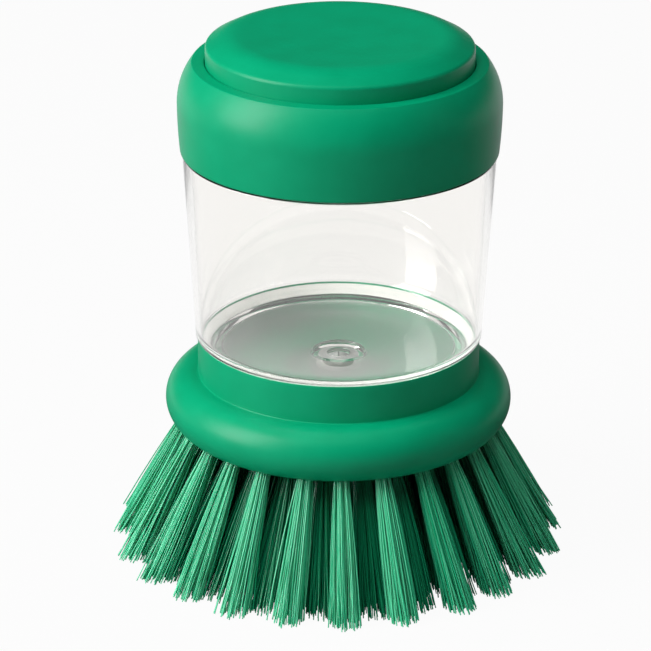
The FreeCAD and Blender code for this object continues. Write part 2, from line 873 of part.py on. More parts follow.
def check_objects():
    """Stop unless every object and every node came out whole."""
    for thing in doc.Objects:
        if "Invalid" in thing.State or "Error" in thing.State:
            raise RuntimeError(f"{thing.Label} failed: {thing.State}")
    for node in nodes:
        if node.Shape.isNull() or not node.Shape.isValid() or not node.Shape.Solids:
            raise RuntimeError(f"{node.Label} has no sound solid")


make_brush()
make_container()
make_valve()
make_rings()
make_base_seal()
make_cap()
make_pump_plate()
make_spring()
make_button()
make_piston_seal()
doc.recompute()
check_objects()
os.makedirs("parts", exist_ok=True)
for node in nodes:
    node.Shape.exportStep(os.path.join("parts", f"{node.Label}.step"))
    print(f"{node.Label}: {len(node.Shape.Solids)} solid, {node.Shape.Volume:.1f} mm3")
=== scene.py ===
"""Palm dish brush with a soap tank: the looks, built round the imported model.

Sizes are in millimetres unless a name says otherwise, and become metres where a mesh is made.
"""

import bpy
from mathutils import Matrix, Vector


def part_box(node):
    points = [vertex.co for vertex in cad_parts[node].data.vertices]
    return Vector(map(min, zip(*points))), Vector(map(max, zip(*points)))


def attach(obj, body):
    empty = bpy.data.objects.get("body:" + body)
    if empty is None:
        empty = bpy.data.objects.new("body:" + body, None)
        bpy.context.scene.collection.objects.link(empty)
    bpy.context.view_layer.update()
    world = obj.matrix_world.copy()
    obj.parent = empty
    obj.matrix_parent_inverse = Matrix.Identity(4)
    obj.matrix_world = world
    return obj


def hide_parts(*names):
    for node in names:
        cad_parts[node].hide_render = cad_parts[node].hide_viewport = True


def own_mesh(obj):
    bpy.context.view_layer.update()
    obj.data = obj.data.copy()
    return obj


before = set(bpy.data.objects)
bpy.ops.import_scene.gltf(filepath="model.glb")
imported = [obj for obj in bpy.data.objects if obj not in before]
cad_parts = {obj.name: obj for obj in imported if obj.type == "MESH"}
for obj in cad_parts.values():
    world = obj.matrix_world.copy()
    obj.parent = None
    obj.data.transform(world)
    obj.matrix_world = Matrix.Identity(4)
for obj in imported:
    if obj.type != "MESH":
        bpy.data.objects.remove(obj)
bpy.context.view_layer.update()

import logging
import math
from dataclasses import dataclass
from enum import Enum
from typing import Any, Callable, Optional, Sequence

import bmesh
import bpy
import numpy as np
from mathutils import Euler, Vector

LOG = logging.getLogger("palm_brush")
MM = 0.001
TURN = 2 * math.pi
GOLDEN_ANGLE = math.pi * (3 - math.sqrt(5))
IMAGE_SIDE_PX = 651
WHITE = (1.0, 1.0, 1.0, 1.0)
# Lengths that differ by less than this are the same.
SAME = 1e-6
# Gap between the tank and the green pieces below and above it.
TANK_GAP = 0.3
# A Mix node's sockets for colours, by number, because it has other sockets of the same names.
MIX_A, MIX_B, MIX_RESULT = 6, 7, 2

Point = tuple[float, float]
Swell = Callable[[np.ndarray, np.ndarray, np.ndarray], np.ndarray]
Inputs = dict[Any, Any]
Material = bpy.types.Material
Mesh = bpy.types.Mesh
Node = bpy.types.Node
Piece = bpy.types.Object
Socket = bpy.types.NodeSocket
Tree = bpy.types.NodeTree
Feeds = dict[str, Node | Socket]


class Body(Enum):
    """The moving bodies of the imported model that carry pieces."""

    BRUSH = "brush"
    CAP = "cap"
    BUTTON = "button"


class Slot(Enum):
    """The record's material slots."""

    GREEN = "green_polypropylene"
    CLEAR = "clear_san"
    SILICONE = "silicone"
    BRISTLE = "bristle_monofilament"
    STEEL = "stainless_wire"


class RidgeSide(Enum):
    """Which way screw ridges stand from their wall."""

    INWARDS = -1
    OUTWARDS = 1


def linear_colour(hex_colour: str) -> tuple[float, float, float, float]:
    """Turn an sRGB hex colour to linear values with full alpha, by the standard's curve.

    Args:
        hex_colour: Six hex digits after a hash sign.

    Returns:
        Red, green, blue and alpha, linear.
    """
    channels = [int(hex_colour[start:start + 2], 16) / 255 for start in (1, 3, 5)]
    linear = [c / 12.92 if c <= 0.04045 else ((c + 0.055) / 1.055) ** 2.4 for c in channels]
    return (*linear, 1.0)


def add_node(tree: Tree, kind: str, inputs: Optional[Inputs] = None, **settings: Any) -> Node:
    """Add a node with its settings, and set or link its inputs.

    Args:
        tree: The tree that gets the node.
        kind: The node's type name.
        inputs: Input name or number to a value, to the socket that feeds it, or to the node
            whose first output does.
        settings: Properties of the node itself.

    Returns:
        The new node.
    """
    node = tree.nodes.new(kind)
    for name, value in settings.items():
        setattr(node, name, value)
    for key, value in (inputs or {}).items():
        socket = node.inputs[key]
        if isinstance(value, Node):
            value = value.outputs[0]
        if isinstance(value, Socket):
            tree.links.new(value, socket)
        else:
            socket.default_value = value
    return node


def new_material(name: str) -> tuple[Material, Tree]:
    """Make an empty node material.

    Args:
        name: The material's name.

    Returns:
        The material and its node tree.
    """
    material = bpy.data.materials.new(name)
    material.use_nodes = True
    material.node_tree.nodes.clear()
    return material, material.node_tree


def linked_object(name: str, data: bpy.types.ID) -> Piece:
    """Make an object at the origin and link it to the scene.

    Args:
        name: Its name.
        data: Its mesh, lamp or camera.

    Returns:
        The new object.
    """
    thing = bpy.data.objects.new(name, data)
    bpy.context.scene.collection.objects.link(thing)
    return thing


def finished_piece(name: str, mesh: Mesh, material: Material) -> Piece:
    """Link a mesh as a piece with its material.

    Args:
        name: The piece's name.
        mesh: Its mesh, in metres and in place.
        material: Its finish.

    Returns:
        The new piece.
    """
    mesh.materials.clear()
    mesh.materials.append(material)
    return linked_object(name, mesh)


def rippled(tree: Tree, size: float, depth: float, detail: float) -> Node:
    """Wave a moulded surface with an even noise.

    Args:
        tree: The material's tree.
        size: Width of a wave.
        depth: Height of a wave.
        detail: How many finer waves ride on it.

    Returns:
        The node that gives the waved normal.
    """
    place = add_node(tree, "ShaderNodeTexCoord").outputs["Object"]
    waves = add_node(tree, "ShaderNodeTexNoise", {
        "Vector": place, "Scale": 1 / (size * MM), "Detail": detail})
    return add_node(tree, "ShaderNodeBump", {
        "Height": waves, "Distance": depth * MM, "Strength": 1.0})


@dataclass(frozen=True)
class Finish:
    """A real material, named for what it is and how its surface was made."""

    name: str
    colour: str

    def build(self) -> Material:
        """Build the material round the finish's own skin.

        Returns:
            The finished material.
        """
        material, tree = new_material(self.name)
        skin = add_node(tree, "ShaderNodeBsdfPrincipled", self.skin(tree))
        add_node(tree, "ShaderNodeOutputMaterial", {"Surface": skin})
        return material

    def skin(self, tree: Tree) -> Inputs:
        """Give the shader's inputs, as plain values or as the sockets that feed them."""
        raise NotImplementedError


@dataclass(frozen=True)
class MouldedPolypropylene(Finish):
    """Polypropylene from a polished mould: an even satin skin, a little cloudy, faintly rippled."""

    cloud_colour: str
    roughness: float = 0.38
    roughness_spread: float = 0.05
    cloud_size: float = 6.0
    cloud_detail: float = 5.0
    ripple_size: float = 1.6
    ripple_depth: float = 0.008
    ripple_detail: float = 4.0
    ior: float = 1.49
    specular: float = 0.24

    def skin(self, tree: Tree) -> Inputs:
        """Cloud the colour and the gloss alike, and ripple the surface.

        Args:
            tree: The material's tree.

        Returns:
            The shader's inputs.
        """
        place = add_node(tree, "ShaderNodeTexCoord").outputs["Object"]
        cloud = add_node(tree, "ShaderNodeTexNoise", {
            "Vector": place, "Scale": 1 / (self.cloud_size * MM), "Detail": self.cloud_detail})
        colour = add_node(tree, "ShaderNodeMix", {
            "Factor": cloud,
            MIX_A: linear_colour(self.colour),
            MIX_B: linear_colour(self.cloud_colour),
        }, data_type="RGBA")
        rough = add_node(tree, "ShaderNodeMapRange", {
            "Value": cloud,
            "To Min": self.roughness - self.roughness_spread,
            "To Max": self.roughness + self.roughness_spread,
        })
        return {
            "Base Color": colour.outputs[MIX_RESULT],
            "Roughness": rough,
            "IOR": self.ior,
            "Specular IOR Level": self.specular,
            "Normal": rippled(tree, self.ripple_size, self.ripple_depth, self.ripple_detail),
        }


@dataclass(frozen=True)
class ClearStyrene(Finish):
    """Styrene-acrylonitrile, moulded clear: sharp or frosted reflections, a faint flow ripple."""

    roughness: float = 0.0
    ior: float = 1.57
    ripple_size: float = 9.0
    ripple_depth: float = 0.01
    ripple_detail: float = 1.0

    def skin(self, tree: Tree) -> Inputs:
        """Let the light through a faintly waved surface.

        Args:
            tree: The material's tree.

        Returns:
            The shader's inputs.
        """
        return {
            "Base Color": linear_colour(self.colour),
            "Roughness": self.roughness,
            "IOR": self.ior,
            "Transmission Weight": 1.0,
            "Normal": rippled(tree, self.ripple_size, self.ripple_depth, self.ripple_detail),
        }


@dataclass(frozen=True)
class DrawnMonofilament(Finish):
    """Drawn polyester filament: glossy along its length, each strand a slightly different green."""

    pale_colour: str
    roughness: float = 0.25
    ior: float = 1.57
    specular: float = 0.6

    def skin(self, tree: Tree) -> Inputs:
        """Tint each strand by its own attribute.

        Args:
            tree: The material's tree.

        Returns:
            The shader's inputs.
        """
        tint = add_node(tree, "ShaderNodeAttribute", attribute_name="tint")
        colour = add_node(tree, "ShaderNodeMix", {
            "Factor": tint.outputs["Fac"],
            MIX_A: linear_colour(self.colour),
            MIX_B: linear_colour(self.pale_colour),
        }, data_type="RGBA")
        return {
            "Base Color": colour.outputs[MIX_RESULT],
            "Roughness": self.roughness,
            "IOR": self.ior,
            "Specular IOR Level": self.specular,
        }


@dataclass(frozen=True)
class MouldedSilicone(Finish):
    """Liquid silicone rubber: milky and soft-looking, with a fine matt skin."""

    transmission: float
    roughness: float = 0.45
    # The real grain is finer: it is drawn as coarse as it needs to show.
    grain_size: float = 0.6
    grain_depth: float = 0.01
    grain_detail: float = 2.0
    ior: float = 1.41

    def skin(self, tree: Tree) -> Inputs:
        """Let a share of the light through a finely grained surface.

        Args:
            tree: The material's tree.

        Returns:
            The shader's inputs.
        """
        return {
            "Base Color": linear_colour(self.colour),
            "Roughness": self.roughness,
            "IOR": self.ior,
            "Transmission Weight": self.transmission,
            "Normal": rippled(tree, self.grain_size, self.grain_depth, self.grain_detail),
        }


@dataclass(frozen=True)
class DrawnStainlessWire(Finish):
    """Stainless steel drawn to wire: bright, with fine draw marks that blur its reflections."""

    roughness: float = 0.28
    roughness_spread: float = 0.14
    # Real draw marks are finer: they are drawn as coarse as they need to show.
    mark_size: float = 0.15

    def skin(self, tree: Tree) -> Inputs:
        """Roughen the metal unevenly along its draw marks.

        Args:
            tree: The material's tree.

        Returns:
            The shader's inputs.
        """
        place = add_node(tree, "ShaderNodeTexCoord").outputs["Object"]
        marks = add_node(tree, "ShaderNodeTexNoise", {
            "Vector": place, "Scale": 1 / (self.mark_size * MM)})
        rough = add_node(tree, "ShaderNodeMapRange", {
            "Value": marks,
            "To Min": self.roughness - self.roughness_spread,
            "To Max": self.roughness + self.roughness_spread,
        })
        return {
            "Base Color": linear_colour(self.colour),
            "Metallic": 1.0,
            "Roughness": rough,
        }


@dataclass(frozen=True)
class Corner:
    """A corner of a turned piece's outline, and how far it is rounded."""

    radius: float
    height: float
    rounding: float = 0.0


def rounded_outline(corners: Sequence[Corner], closed: bool, steps: int = 8) -> list[Point]:
    """Walk an outline and turn each rounded corner to an arc.

    Args:
        corners: The corners in order.
        closed: Whether the last corner joins the first.
        steps: Stretches in an arc.

    Returns:
        Radius and height of each point.
    """
    points: list[Point] = []
    places = [Vector((corner.radius, corner.height)) for corner in corners]
    last_index = len(corners) - 1
    for index, (corner, here) in enumerate(zip(corners, places)):
        if corner.rounding <= 0 or (not closed and index in (0, last_index)):
            points.append((here.x, here.y))
            continue
        back = (places[index - 1] - here).normalized()
        on = (places[(index + 1) % len(places)] - here).normalized()
        half = back.angle(on) / 2
        reach = corner.rounding / math.tan(half)
        centre = here + (back + on).normalized() * (corner.rounding / math.sin(half))
        first = here + back * reach - centre
        last = here + on * reach - centre
        sweep = first.angle_signed(last)
        for step in range(steps + 1):
            angle = -sweep * step / steps
            cos, sin = math.cos(angle), math.sin(angle)
            points.append((centre.x + first.x * cos - first.y * sin,
                           centre.y + first.x * sin + first.y * cos))
    return points


def arc_outline(start: Point, end: Point, centre: Point, steps: int = 24) -> list[Corner]:
    """Points of an arc between two corners, without its ends.

    Args:
        start: Radius and height where the arc starts.
        end: Radius and height where it ends.
        centre: Radius and height of its centre.
        steps: Stretches in the arc.

    Returns:
        The corners between the ends.
    """
    first = math.atan2(start[1] - centre[1], start[0] - centre[0])
    last = math.atan2(end[1] - centre[1], end[0] - centre[0])
    reach = math.dist(start, centre)
    angles = np.linspace(first, last, steps + 1)[1:-1]
    return [Corner(centre[0] + reach * math.cos(a), centre[1] + reach * math.sin(a))
            for a in angles]


def turned_piece(name: str, outline: Sequence[Point], material: Material, closed: bool = True,
                 segments: int = 240, crease_degrees: float = 32.0,
                 swell: Optional[Swell] = None) -> Piece:
    """Turn an outline about the brush axis into a closed smooth piece.

    Args:
        name: The piece's name.
        outline: Radius and height of each point.
        material: Its finish.
        closed: Whether the outline closes on itself, or ends on the axis.
        segments: Stretches round the axis.
        crease_degrees: Edges sharper than this stay sharp.
        swell: Extra radius by angle, radius and height, for screw ridges.

    Returns:
        The new piece.
    """
    shape = bmesh.new()
    angles = np.linspace(0, TURN, segments, endpoint=False)
    rings = []
    for radius, height in outline:
        if radius < SAME:
            rings.append([shape.verts.new((0, 0, height * MM))])
            continue
        radii = np.full(segments, radius)
        if swell is not None:
            radii = radii + swell(angles, radii, np.full(segments, height))
        rings.append([shape.verts.new((r * math.cos(a) * MM, r * math.sin(a) * MM, height * MM))
                      for r, a in zip(radii, angles)])
    for low, high in zip(rings, rings[1:] + rings[:1] if closed else rings[1:]):
        for index in range(segments):
            after = (index + 1) % segments
            corners = [low[index % len(low)], low[after % len(low)],
                       high[after % len(high)], high[index % len(high)]]
            # A ring of one point, on the axis, gives triangles.
            shape.faces.new(list(dict.fromkeys(corners)))
    bmesh.ops.recalc_face_normals(shape, faces=shape.faces)
    for face in shape.faces:
        face.smooth = True
    mesh = bpy.data.meshes.new(name)
    shape.to_mesh(mesh)
    shape.free()
    mesh.set_sharp_from_angle(angle=math.radians(crease_degrees))
    return finished_piece(name, mesh, material)


def settle(piece: Piece, body: Body, slot: Slot, *nodes: str) -> None:
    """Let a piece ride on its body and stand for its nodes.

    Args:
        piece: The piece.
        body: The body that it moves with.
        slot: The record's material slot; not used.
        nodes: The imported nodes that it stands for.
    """
    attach(piece, body.value)
    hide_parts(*nodes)
    LOG.info("%s rides on %s, %d faces", piece.name, body.value, len(piece.data.polygons))


@dataclass
class ScrewRidge:
    """A two-start screw thread: ridges of tapered section that run out at both ends."""

    start_height: float
    lead: float = 6.0
    turns: float = 0.55
    starts: int = 2
    ridge: float = 0.65
    base_half: float = 0.72
    crest_half: float = 0.22
    run_out: float = 0.03

    def lift(self, angles: np.ndarray, heights: np.ndarray) -> np.ndarray:
        """How far the ridges stand up at each angle and height.

        Args:
            angles: Angles about the axis.
            heights: Heights of the surface.

        Returns:
            The ridge's height above its wall.
        """
        total = np.zeros_like(angles)
        for start in range(self.starts):
            turned = ((angles - TURN * start / self.starts) % TURN) / TURN
            off_middle = np.abs(heights - self.start_height - self.lead * turned)
            flank = np.clip(
                (self.base_half - off_middle) / (self.base_half - self.crest_half), 0, 1)
            # The flank eases in at its foot and out at its crest.
            flank = flank * flank * (3 - 2 * flank)
            ends = np.clip(np.minimum(turned, self.turns - turned) / self.run_out, 0, 1)
            total = np.maximum(total, self.ridge * flank * ends)
        return total

    def on_wall(self, wall: float, side: RidgeSide, low: float) -> Swell:
        """Stand the ridges on one round wall of a piece.

        Args:
            wall: The wall's radius.
            side: Which way they stand.
            low: Height above which the wall carries them.

        Returns:
            Extra radius by angle, radius and height.
        """
        def swell(angles: np.ndarray, radii: np.ndarray, heights: np.ndarray) -> np.ndarray:
            """Move the points that lie on the wall."""
            ridged = (np.abs(radii - wall) < SAME) & (heights > low)
            return np.where(ridged, side.value * self.lift(angles, heights), 0)

        return swell


def ridged_wall(radius: float, low: float, high: float, step: float) -> list[Corner]:
    """Even points up a wall that carries screw ridges.

    Args:
        radius: The wall's radius.
        low: Height of the wall's foot.
        high: Height of its top.
        step: Spacing.

    Returns:
        The corners from the foot up, without the two ends.
    """
    heights = np.linspace(low, high, round((high - low) / step) + 1)[1:-1]
    return [Corner(radius, height) for height in heights]


@dataclass
class CadPlace:
    """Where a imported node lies: its reach from the axis and its heights."""

    radius: float
    low: float
    high: float

    @classmethod
    def of(cls, node: str) -> "CadPlace":
        """Read a node's place from the frame, in millimetres."""
        low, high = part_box(node)
        return cls(high.x / MM, low.z / MM, high.z / MM)


@dataclass
class BrushBase:
    """The green brush block: a round bead, a recess for the bristle plate, a neck with a seat."""

    place: CadPlace
    face: float
    bead_radius: float = 5.4
    bead_steps: int = 40
    deck_thickness: float = 10.4
    neck_radius: float = 27.2
    neck_wall: float = 2.8
    neck_round: float = 0.08
    seat_slope: float = 0.647
    seal_land: float = 0.2
    seal_pocket: float = 0.95
    seal_height: float = 0.8
    seal_clearance: float = 0.1
    deck_bore: float = 10.5
    deck_round: float = 0.5
    recess_radius: float = 31.3
    recess_depth: float = 8.0
    crease_round: float = 0.25

    def seat(self, radius: float) -> float:
        """Height of the cone seat at a radius."""
        return self.place.high - (self.neck_radius - radius) * self.seat_slope

    def outline(self) -> list[Point]:
        """Draw the block from the recess round the bead, up the neck and over the deck.

        Returns:
            The closed outline.
        """
        bead = (self.place.radius - self.bead_radius, self.face + self.bead_radius)
        bead_top = bead[1] + self.bead_radius
        lip = self.recess_radius - bead[0]
        bead_foot = bead[1] - math.sqrt(self.bead_radius ** 2 - lip ** 2)
        recess_top = self.face + self.recess_depth
        deck = self.face + self.deck_thickness
        pocket = self.neck_radius - self.seal_land
        bore = self.neck_radius - self.neck_wall
        corners = [
            Corner(self.deck_bore, recess_top),
            Corner(self.recess_radius, recess_top),
            Corner(self.recess_radius, bead_foot),
            *arc_outline((self.recess_radius, bead_foot), (bead[0], bead_top), bead,
                         self.bead_steps),
            Corner(bead[0], bead_top),
            Corner(self.neck_radius, bead_top, self.crease_round),
            Corner(self.neck_radius, self.place.high, self.neck_round),
            Corner(pocket, self.seat(pocket)),
            Corner(pocket, self.seat(pocket) - self.seal_pocket),
            Corner(bore, self.seat(bore) - self.seal_pocket),
            Corner(bore, deck),
            Corner(self.deck_bore, deck, self.deck_round),
        ]
        return rounded_outline(corners, closed=True)

    def seal_outline(self) -> list[Point]:
        """Draw the soft ring in the seat's pocket.

        Returns:
            The closed outline.
        """
        inner = self.neck_radius - self.neck_wall + self.seal_clearance
        outer = self.neck_radius - self.seal_land - self.seal_clearance
        low, high = (self.seat(radius) - self.seal_pocket for radius in (inner, outer))
        return [(inner, low), (outer, high),
                (outer, high + self.seal_height), (inner, low + self.seal_height)]

    def build(self, finish: Material, rubber: Material) -> None:
        """Build and settle the block and the seal under the tank.

        Args:
            finish: The block's finish.
            rubber: The seal's finish.
        """
        block = turned_piece("brush_block", self.outline(), finish)
        settle(block, Body.BRUSH, Slot.GREEN, "brush_base")
        seal = turned_piece("foot_seal", self.seal_outline(), rubber)
        settle(seal, Body.BRUSH, Slot.SILICONE, "base_seal")


@dataclass
class Tank:
    """The clear soap tank: spigot, dished floor with a dimple, tapered wall and screw mouth."""

    place: CadPlace
    foot: float
    shoulder: float
    foot_radius: float = 27.6
    foot_round: float = 0.4
    seat_drop: float = 2.2
    spigot_radius: float = 24.2
    spigot_length: float = 6.8
    spigot_wall: float = 1.6
    spigot_round: float = 0.2
    wall: float = 1.3
    wall_foot_rise: float = 1.9
    floor_radius: float = 23.5
    floor_drop: float = 1.3
    floor_dish: float = 2.0
    floor_thickness: float = 1.8
    floor_root_round: float = 0.5
    dimple_radius: float = 4.9
    dimple_depth: float = 0.4
    dimple_round: float = 0.25
    valve_hole: float = 2.2
    valve_hole_round: float = 0.15
    boss_bore: float = 4.1
    boss_radius: float = 5.4
    boss_depth: float = 2.7
    boss_round: float = 0.3
    boss_root_round: float = 0.4
    shoulder_round: float = 0.2
    mouth_step: float = 0.6
    mouth_step_round: float = 0.1
    mouth_wall: float = 0.8
    mouth_round: float = 0.25
    thread_drop: float = 4.6
    thread_step: float = 0.1
    # Faces whose normal points down by more than this belong to an underside.
    underside_normal: float = -0.5

    def mouth_bore(self) -> float:
        """Radius of the mouth's bore."""
        return self.place.radius - self.mouth_step - self.mouth_wall

    def outline(self) -> list[Point]:
        """Draw the tank from the outlet round the outside and back down the inside.

        Returns:
            The closed outline.
        """
        foot, shoulder, rim = self.foot, self.shoulder, self.place.high
        mouth, bore = self.place.radius - self.mouth_step, self.mouth_bore()
        floor_rim = foot - self.floor_drop
        floor_low = floor_rim - self.floor_dish
        dimple_floor = floor_low - self.dimple_depth
        seat = floor_low - self.floor_thickness
        boss_foot = seat - self.boss_depth
        spigot_bore = self.spigot_radius - self.spigot_wall
        spigot_end = foot - self.spigot_length
        wall_foot = (self.foot_radius - self.wall, foot + self.wall_foot_rise)
        drop = wall_foot[1] - floor_rim
        inset = wall_foot[0] - self.floor_radius
        corner_radius = (inset * inset + drop * drop) / (2 * inset)
        centre = (wall_foot[0] - corner_radius, wall_foot[1])
        thread = ridged_wall(bore, shoulder, rim - 2 * self.mouth_round, self.thread_step)
        corners = [
            Corner(self.valve_hole, seat),
            Corner(self.boss_bore, seat),
            Corner(self.boss_bore, boss_foot),
            Corner(self.boss_radius, boss_foot, self.boss_round),
            Corner(self.boss_radius, seat, self.boss_root_round),
            Corner(spigot_bore, floor_rim - self.floor_thickness, self.floor_root_round),
            Corner(spigot_bore, spigot_end, self.spigot_round),
            Corner(self.spigot_radius, spigot_end, self.spigot_round),
            Corner(self.spigot_radius, foot - self.seat_drop),
            Corner(self.foot_radius, foot, self.foot_round),
            Corner(self.place.radius, shoulder, self.shoulder_round),
            Corner(mouth, shoulder, self.mouth_step_round),
            Corner(mouth, rim, self.mouth_round),
            Corner(bore, rim, self.mouth_round),
            *reversed(thread),
            Corner(bore, shoulder),
            Corner(*wall_foot),
            *arc_outline(wall_foot, (self.floor_radius, floor_rim), centre),
            Corner(self.floor_radius, floor_rim),
            Corner(self.dimple_radius, floor_low, self.dimple_round),
            Corner(self.dimple_radius, dimple_floor, self.dimple_round / 2),
            Corner(self.valve_hole, dimple_floor, self.valve_hole_round),
        ]
        return rounded_outline(corners, closed=True)

    def frost_and_shade_floor(self, piece: Piece, frost_and_painted_shade: Material) -> None:
        """Give the underside of the floor its frosted finish, whose grey is painted shade.

        Args:
            piece: The tank.
            frost_and_painted_shade: The finish of the floor's underside: frosted, and grey as
                painted shade.
        """
        piece.data.materials.append(frost_and_painted_shade)
        frosted_shaded_slot = len(piece.data.materials) - 1
        floor_rim = self.foot - self.floor_drop
        lowest = floor_rim - self.floor_dish - self.floor_thickness - self.foot_round
        spigot_bore = self.spigot_radius - self.spigot_wall
        for face in piece.data.polygons:
            reach = math.hypot(face.center.x, face.center.y) / MM
            at_floor = lowest < face.center.z / MM < floor_rim
            faces_down = face.normal.z < self.underside_normal
            if at_floor and faces_down and self.boss_radius < reach < spigot_bore:
                face.material_index = frosted_shaded_slot

    def build(self, finish: Material, frost_and_painted_shade: Material) -> None:
        """Build and settle the tank.

        Args:
            finish: Its clear finish.
            frost_and_painted_shade: The finish of the floor's underside: frosted, and grey as
                painted shade.
        """
        ridge = ScrewRidge(self.place.high - self.thread_drop)
        swell = ridge.on_wall(self.mouth_bore(), RidgeSide.INWARDS, self.shoulder)
        piece = turned_piece("soap_tank", self.outline(), finish, swell=swell)
        # Clear plastic lets the lamps' light through to the block below.
        piece.visible_shadow = False
        # The frosted underside's grey is painted shade over the lamp-lit block below.
        self.frost_and_shade_floor(piece, frost_and_painted_shade)
        settle(piece, Body.BRUSH, Slot.CLEAR, "container")


@dataclass
class Cap:
    """The green screw cap: outer skirt, rounded shoulder, ledge, and an inner skirt with thread."""

    place: CadPlace
    rim_radius: float = 30.2
    rim_round: float = 0.4
    waist_height: float = 9.5
    wall_steps: int = 24
    parting_height: float = 0.012
    shoulder_setback: float = 2.8
    shoulder_steps: int = 40
    edge_round: float = 0.3
    ledge_width: float = 2.4
    ledge_thickness: float = 2.3
    ledge_round: float = 0.2
    slot_radius: float = 29.45
    slot_depth: float = 12.2
    skirt_radius: float = 27.4
    skirt_recess: float = 0.6
    foot_round: float = 0.15
    pump_bore: float = 26.35
    lip_height: float = 0.8
    lip_width: float = 0.55
    thread_height: float = 5.1
    thread_step: float = 0.1
    thread_clearance: float = 0.2

    def lower_wall(self, waist: float, middle: float) -> list[Corner]:
        """The wall between rim and waist, which bends in gently towards the rim.

        Args:
            waist: Radius of the waist.
            middle: Height of the waist.

        Returns:
            The corners from the rim up, without the two ends.
        """
        drops = np.linspace(1, 0, self.wall_steps + 1)[1:-1]
        inset = waist - self.rim_radius
        return [Corner(waist - inset * drop ** 2, middle - self.waist_height * drop)
                for drop in drops]

    def outline(self) -> list[Point]:
        """Draw the cap from the rim up the outside and back down the bore.

        Returns:
            The closed outline.
        """
        rim, ledge, waist = self.place.low, self.place.high, self.place.radius
        middle = rim + self.waist_height
        rise = ledge - middle
        sweep = (self.shoulder_setback ** 2 + rise ** 2) / (2 * self.shoulder_setback)
        edge = waist - self.shoulder_setback
        opening = edge - self.ledge_width
        ledge_foot = ledge - self.ledge_thickness
        foot = rim + self.skirt_recess
        lip_top = foot + self.lip_height
        lip_bore = self.pump_bore - self.lip_width
        slot_top = rim + self.slot_depth
        corners = [
            Corner(self.slot_radius, rim, self.foot_round),
            Corner(self.rim_radius, rim, self.rim_round),
            *self.lower_wall(waist, middle),
            Corner(waist + self.parting_height, middle),
            *arc_outline((waist, middle), (edge, ledge), (waist - sweep, middle),
                         self.shoulder_steps),
            Corner(edge, ledge, self.edge_round),
            Corner(opening, ledge, self.ledge_round),
            Corner(opening, ledge_foot),
            Corner(self.pump_bore, ledge_foot),
            Corner(self.pump_bore, lip_top),
            Corner(lip_bore, lip_top),
            Corner(lip_bore, foot, self.foot_round),
            Corner(self.skirt_radius, foot, self.foot_round),
            *ridged_wall(self.skirt_radius, foot + self.thread_clearance, slot_top,
                         self.thread_step),
            Corner(self.skirt_radius, slot_top),
            Corner(self.slot_radius, slot_top),
        ]
        return rounded_outline(corners, closed=True)

    def build(self, finish: Material) -> None:
        """Build and settle the cap.

        Args:
            finish: Its finish.
        """
        ridge = ScrewRidge(self.place.low + self.thread_height)
        swell = ridge.on_wall(self.skirt_radius, RidgeSide.OUTWARDS, self.place.low)
        piece = turned_piece("screw_cap", self.outline(), finish, swell=swell)
        settle(piece, Body.CAP, Slot.GREEN, "cap")


@dataclass
class Button:
    """The press button: a dished top with a sloping band, a hollow skirt, flange and groove."""

    place: CadPlace
    side_radius: float = 25.38
    side_height: float = 3.2
    crown: float = 2.15
    band: float = 4.08
    dish: float = 0.45
    dish_steps: int = 8
    edge_round: float = 0.9
    crease_round: float = 8.0
    top: float = 2.2
    ceiling_round: float = 0.8
    skirt: float = 1.98
    flange_radius: float = 26.1
    flange_height: float = 2.0
    groove_radius: float = 24.9
    groove_height: float = 1.8
    lip_radius: float = 25.9
    lip_height: float = 1.0
    post_radius: float = 8.0
    post_wall: float = 1.4
    post_height: float = 2.5
    post_root_round: float = 0.3
    rim_round: float = 0.2

    def outline(self, edge: float) -> list[Point]:
        """Draw the button from the middle of its top round to the middle of its ceiling.

        Args:
            edge: Height of the button's outer edge.

        Returns:
            Radius and height of each point.
        """
        crease_radius = self.side_radius - self.band
        crease = edge + self.crown
        middle = crease - self.dish
        bowl = (crease_radius ** 2 + self.dish ** 2) / (2 * self.dish)
        ceiling = middle - self.top
        foot = self.place.low
        groove_foot = foot + self.lip_height
        flange_foot = groove_foot + self.groove_height
        flange_top = flange_foot + self.flange_height
        bore = self.side_radius - self.skirt
        post_bore = self.post_radius - self.post_wall
        post_end = ceiling - self.post_height
        corners = [
            Corner(0, middle),
            *arc_outline((0, middle), (crease_radius, crease), (0, middle + bowl),
                         self.dish_steps),
            Corner(crease_radius, crease, self.crease_round),
            Corner(self.side_radius, edge, self.edge_round),
            Corner(self.side_radius, flange_top),
            Corner(self.flange_radius, flange_top, self.rim_round),
            Corner(self.flange_radius, flange_foot),
            Corner(self.groove_radius, flange_foot),
            Corner(self.groove_radius, groove_foot),
            Corner(self.lip_radius, groove_foot),
            Corner(self.lip_radius, foot, self.rim_round),
            Corner(bore, foot, self.rim_round),
            Corner(bore, ceiling, self.ceiling_round),
            Corner(self.post_radius, ceiling, self.post_root_round),
            Corner(self.post_radius, post_end, self.rim_round),
            Corner(post_bore, post_end, self.rim_round),
            Corner(post_bore, ceiling, self.post_root_round),
            Corner(0, ceiling),
        ]
        return rounded_outline(corners, closed=False)

    def build(self, finish: Material, ledge: float) -> None:
        """Build and settle the button.

        Args:
            finish: Its finish.
            ledge: Height of the cap's ledge, from which the button stands up.
        """
        outline = self.outline(ledge + self.side_height)
        piece = turned_piece("push_button", outline, finish, closed=False)
        settle(piece, Body.BUTTON, Slot.GREEN, "press_button")


